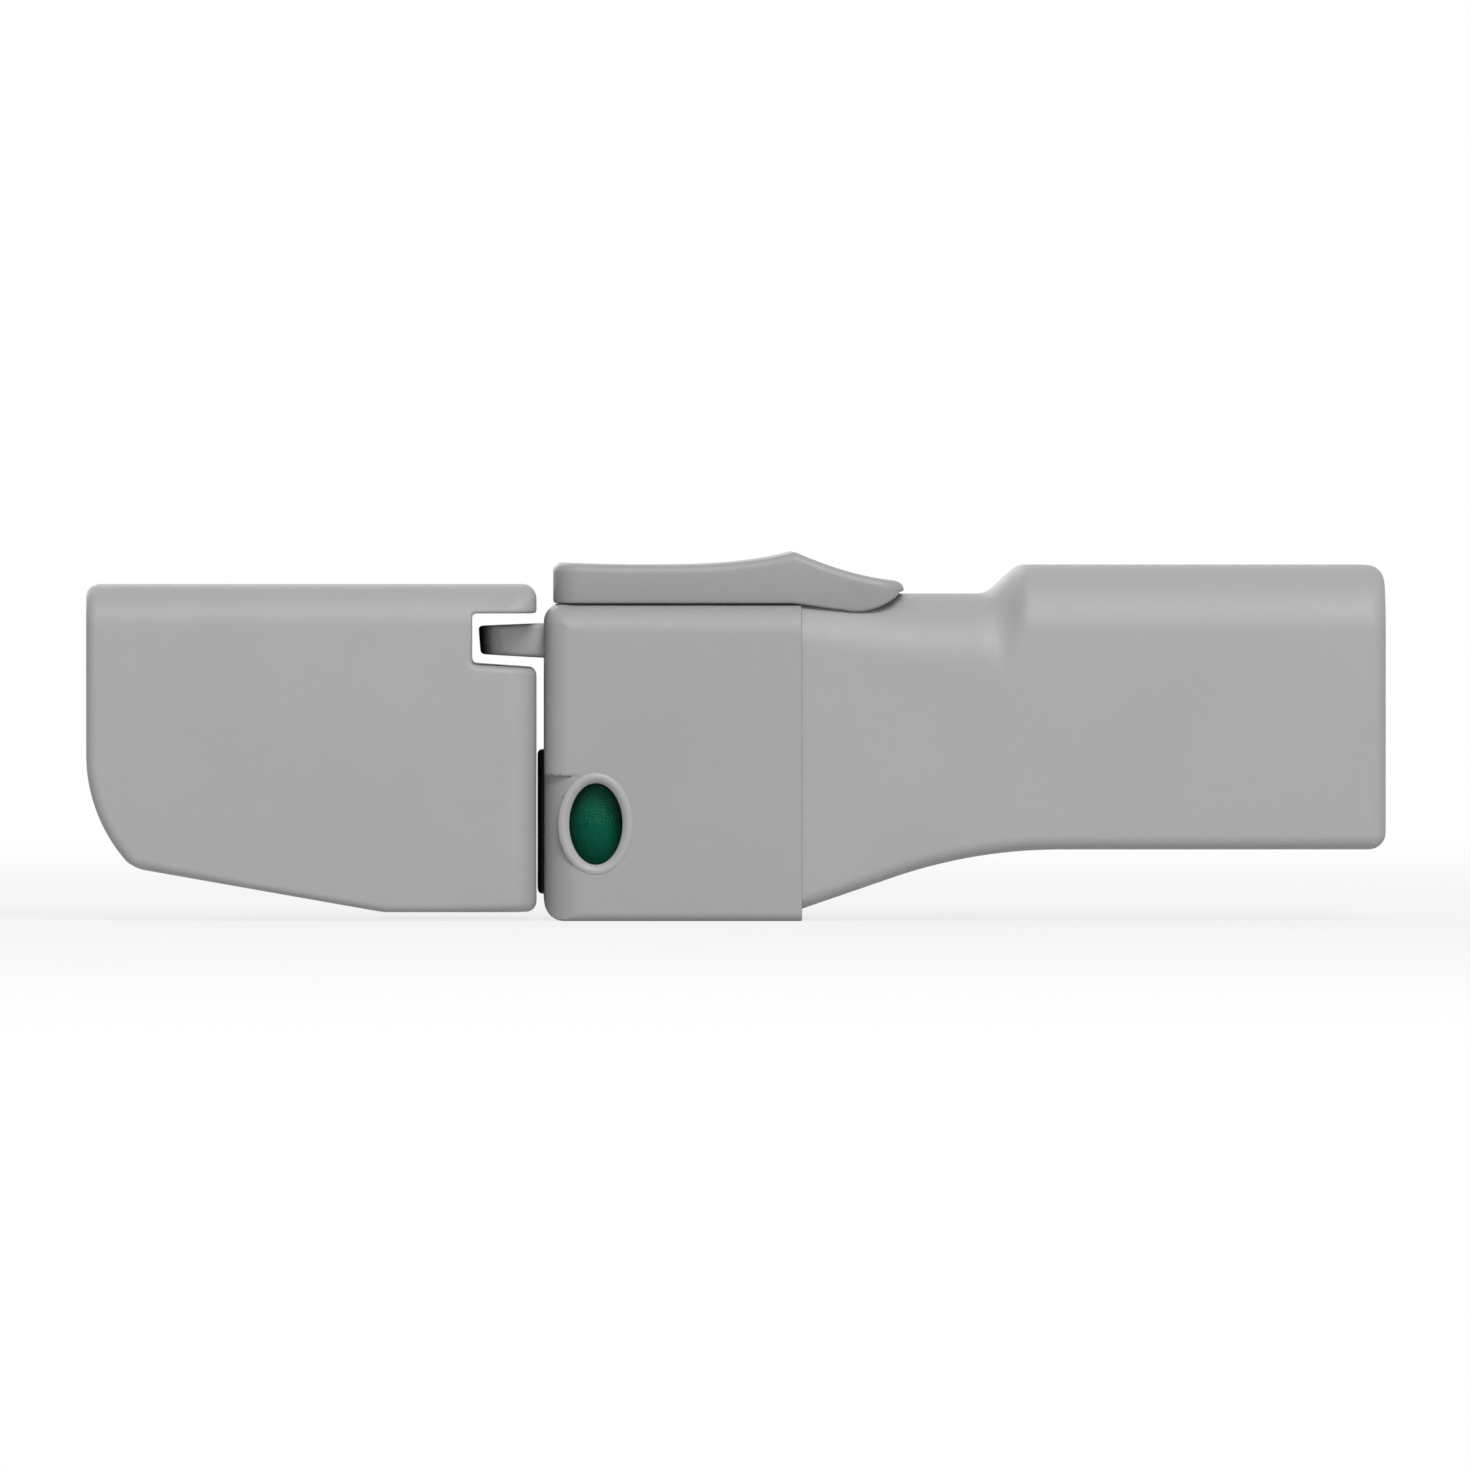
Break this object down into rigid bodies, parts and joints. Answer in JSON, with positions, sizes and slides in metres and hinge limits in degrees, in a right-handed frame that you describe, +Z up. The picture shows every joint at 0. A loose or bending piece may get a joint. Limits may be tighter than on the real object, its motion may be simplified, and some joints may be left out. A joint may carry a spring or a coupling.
{
  "type": "stair gate latch",
  "caption": "Latch for a stair gate: a catch housing for the frame's corner and a lock head with a handle, thumb slider, sprung tongue and coloured indicator window.",
  "frame": {"origin": "where the axes of the gate frame's post and top rail cross, in the middle of both tubes", "axes": "+X along the gate from the frame towards the door, +Y from front to back, +Z up"},
  "size_m": [0.1513, 0.036, 0.043],
  "materials": {
    "shell": "satin, fine grain",
    "head": "satin, fine grain",
    "slider": "satin, fine grain",
    "rim": "smooth satin",
    "lens": "clear",
    "chassis": "matt",
    "dark": "matt",
    "drum": "matt",
    "green": "smooth",
    "red": "smooth",
    "steel": "zinc plated"
  },
  "bodies": {
    "catch": {"catch_front": "shell", "catch_rear": "shell", "catch_screws": "steel"},
    "lock_head": {"head_front": "head", "head_rear": "head", "handle_front": "shell", "handle_rear": "shell", "lock_chassis": "chassis", "head_screws": "steel", "handle_screws": "steel", "indicator_bezel": "rim", "indicator_lens": "lens", "drum_pin": "steel", "spring_rod": "steel", "feeler_spring": "steel"},
    "slider": {"thumb_slider": "slider", "tongue": "head", "slider_screws": "steel", "tongue_spring": "steel"},
    "feeler": {"gap_feeler": "dark"},
    "drum": {"indicator_drum": "drum", "indicator_green": "green", "indicator_red": "red"}
  },
  "joints": [
    {"name": "gate_swing", "type": "hinge", "parent": "catch", "child": "lock_head", "pos_m": [0.6, 0, 0], "axis": [0, 0, -1], "range_deg": [0, 90]},
    {"name": "thumb_slide", "type": "slide", "parent": "lock_head", "child": "slider", "axis": [1, 0, 0], "range_m": [0, 0.0085], "stiffness_N_per_m": 400, "springref_m": -0.008, "deforming": ["tongue_spring"]},
    {"name": "feeler_out", "type": "slide", "parent": "lock_head", "child": "feeler", "axis": [-1, 0, 0], "range_m": [0, 0.005], "deforming": ["feeler_spring"]},
    {"name": "indicator_turn", "type": "hinge", "parent": "lock_head", "child": "drum", "pos_m": [0.0406, -0.0115, 0], "axis": [0, 0, 1], "range_deg": [0, 115]}
  ],
  "couplings": [
    {"joint": "feeler_out", "follows": "gate_swing", "m_per_rad": 0.00318},
    {"joint": "indicator_turn", "follows": "gate_swing", "ratio": 1.272}
  ]
}
